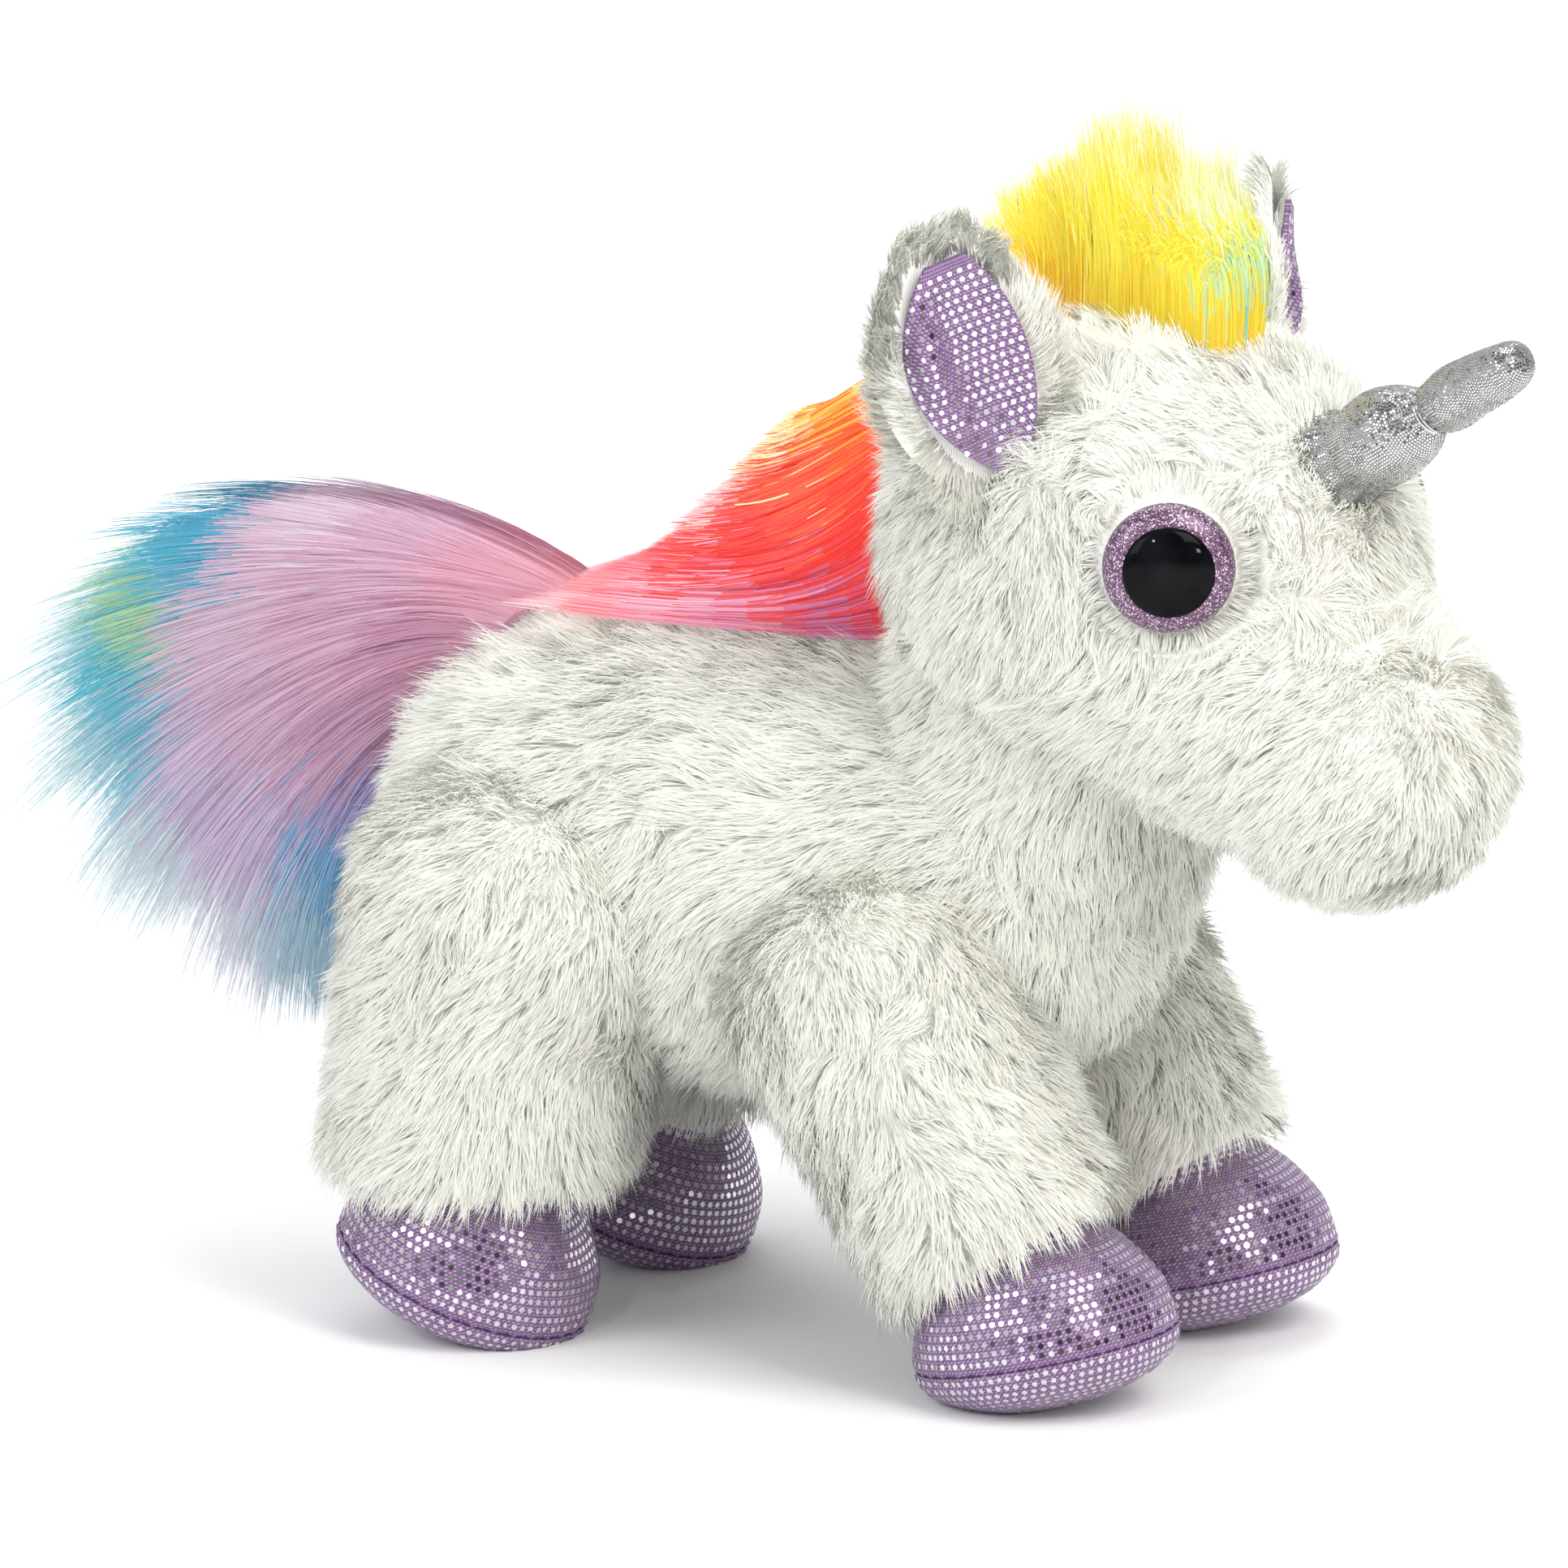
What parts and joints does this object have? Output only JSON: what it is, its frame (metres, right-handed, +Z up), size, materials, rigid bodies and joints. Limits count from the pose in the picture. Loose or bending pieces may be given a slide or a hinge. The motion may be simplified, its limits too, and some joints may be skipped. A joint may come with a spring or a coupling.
{
  "type": "plush unicorn",
  "caption": "Standing plush unicorn with white fur, rainbow mane and tail, a soft silver horn, glitter eyes and dotted satin hooves.",
  "frame": {"origin": "on the floor, below the middle of the toy's bounding box", "axes": "+Z up, nose toward -Y, the animal's left side toward +X"},
  "size_m": [0.121, 0.3164, 0.236],
  "materials": {
    "white_fur": "long soft plush pile",
    "stuffing": "loose polyester fibre",
    "pellets": "small plastic pellets in a cloth bag",
    "dotted_satin": "satin knit with round silver foil dots",
    "silver_mesh": "metallic mesh fabric",
    "silver_thread": "twisted thread",
    "purple_thread": "matt sewing thread",
    "crown_mane": "long glossy fibre",
    "neck_mane": "long glossy fibre, dyed in bands",
    "tail_hair": "long glossy fibre, dyed in bands",
    "hair_backing": "knitted backing",
    "eye_glitter": "clear over fine glitter",
    "eye_black": "polished",
    "eye_washer": "moulded"
  },
  "bodies": {
    "torso": {"body_side_left": "white_fur", "body_side_right": "white_fur", "belly_gusset": "white_fur", "body_stuffing": "stuffing", "belly_pellet_bag": "pellets"},
    "neck": {"neck_stuffing": "stuffing", "neck_mane_hair": "neck_mane"},
    "head": {"head_side_left": "white_fur", "head_side_right": "white_fur", "head_gusset": "white_fur", "head_stuffing": "stuffing", "crown_mane_strip": "hair_backing", "crown_mane_hair": "crown_mane", "neck_mane_strip": "hair_backing", "eye_left_glitter_ring": "eye_glitter", "eye_left_pupil": "eye_black", "eye_left_washer": "eye_washer", "eye_right_glitter_ring": "eye_glitter", "eye_right_pupil": "eye_black", "eye_right_washer": "eye_washer"},
    "ear_left": {"ear_left_back": "white_fur", "ear_left_lining": "dotted_satin"},
    "ear_right": {"ear_right_back": "white_fur", "ear_right_lining": "dotted_satin"},
    "horn": {"horn_cover": "silver_mesh", "horn_stuffing": "stuffing", "horn_thread": "silver_thread"},
    "front_left_leg": {"front_left_leg_cover": "white_fur", "front_left_leg_stuffing": "stuffing", "front_left_hoof_upper": "dotted_satin", "front_left_hoof_sole": "dotted_satin", "front_left_hoof_pellets": "pellets", "front_left_hoof_seam_thread": "purple_thread"},
    "front_right_leg": {"front_right_leg_cover": "white_fur", "front_right_leg_stuffing": "stuffing", "front_right_hoof_upper": "dotted_satin", "front_right_hoof_sole": "dotted_satin", "front_right_hoof_pellets": "pellets", "front_right_hoof_seam_thread": "purple_thread"},
    "hind_left_leg": {"hind_left_leg_cover": "white_fur", "hind_left_leg_stuffing": "stuffing", "hind_left_hoof_upper": "dotted_satin", "hind_left_hoof_sole": "dotted_satin", "hind_left_hoof_pellets": "pellets", "hind_left_hoof_seam_thread": "purple_thread"},
    "hind_right_leg": {"hind_right_leg_cover": "white_fur", "hind_right_leg_stuffing": "stuffing", "hind_right_hoof_upper": "dotted_satin", "hind_right_hoof_sole": "dotted_satin", "hind_right_hoof_pellets": "pellets", "hind_right_hoof_seam_thread": "purple_thread"},
    "tail_root": {"tail_root_pad": "hair_backing"},
    "tail": {"tail_hair": "tail_hair"}
  },
  "joints": [
    {"name": "head_turn", "type": "hinge", "parent": "torso", "child": "neck", "pos_m": [0, -0.0468, 0.112], "axis": [0, 0, 1], "range_deg": [-20, 40], "stiffness_Nm_per_rad": 1, "deforming": ["neck_mane_hair"]},
    {"name": "head_nod", "type": "hinge", "parent": "neck", "child": "head", "pos_m": [0, -0.0468, 0.112], "axis": [0.9781, -0.2079, 0], "range_deg": [-15, 12], "stiffness_Nm_per_rad": 1, "deforming": ["neck_mane_hair"]},
    {"name": "ear_left_fold", "type": "hinge", "parent": "head", "child": "ear_left", "pos_m": [0.03321, -0.07733, 0.168], "axis": [0.8403, 0.3395, -0.4226], "range_deg": [-15, 30], "stiffness_Nm_per_rad": 0.03},
    {"name": "ear_right_fold", "type": "hinge", "parent": "head", "child": "ear_right", "pos_m": [-0.03992, -0.06191, 0.175], "axis": [0.6584, -0.6818, 0.319], "range_deg": [-15, 30], "stiffness_Nm_per_rad": 0.03},
    {"name": "horn_flex", "type": "hinge", "parent": "head", "child": "horn", "pos_m": [-0.01507, -0.11772, 0.18], "axis": [0.9781, -0.2079, 0], "range_deg": [-12, 12], "stiffness_Nm_per_rad": 0.05},
    {"name": "front_left_leg_swing", "type": "hinge", "parent": "torso", "child": "front_left_leg", "pos_m": [0.033, -0.0278, 0.076], "axis": [1, 0, 0], "range_deg": [-22, 28], "stiffness_Nm_per_rad": 1},
    {"name": "front_right_leg_swing", "type": "hinge", "parent": "torso", "child": "front_right_leg", "pos_m": [-0.033, -0.0278, 0.076], "axis": [1, 0, 0], "range_deg": [-22, 28], "stiffness_Nm_per_rad": 1},
    {"name": "hind_left_leg_swing", "type": "hinge", "parent": "torso", "child": "hind_left_leg", "pos_m": [0.033, 0.0432, 0.082], "axis": [1, 0, 0], "range_deg": [-26, 20], "stiffness_Nm_per_rad": 1},
    {"name": "hind_right_leg_swing", "type": "hinge", "parent": "torso", "child": "hind_right_leg", "pos_m": [-0.033, 0.0432, 0.082], "axis": [1, 0, 0], "range_deg": [-26, 20], "stiffness_Nm_per_rad": 1},
    {"name": "tail_swing", "type": "hinge", "parent": "torso", "child": "tail_root", "pos_m": [0, 0.0702, 0.119], "axis": [0, 0, 1], "range_deg": [-22, 22], "stiffness_Nm_per_rad": 0.15},
    {"name": "tail_lift", "type": "hinge", "parent": "tail_root", "child": "tail", "pos_m": [0, 0.0702, 0.119], "axis": [1, 0, 0], "range_deg": [-12, 15], "stiffness_Nm_per_rad": 0.15}
  ]
}
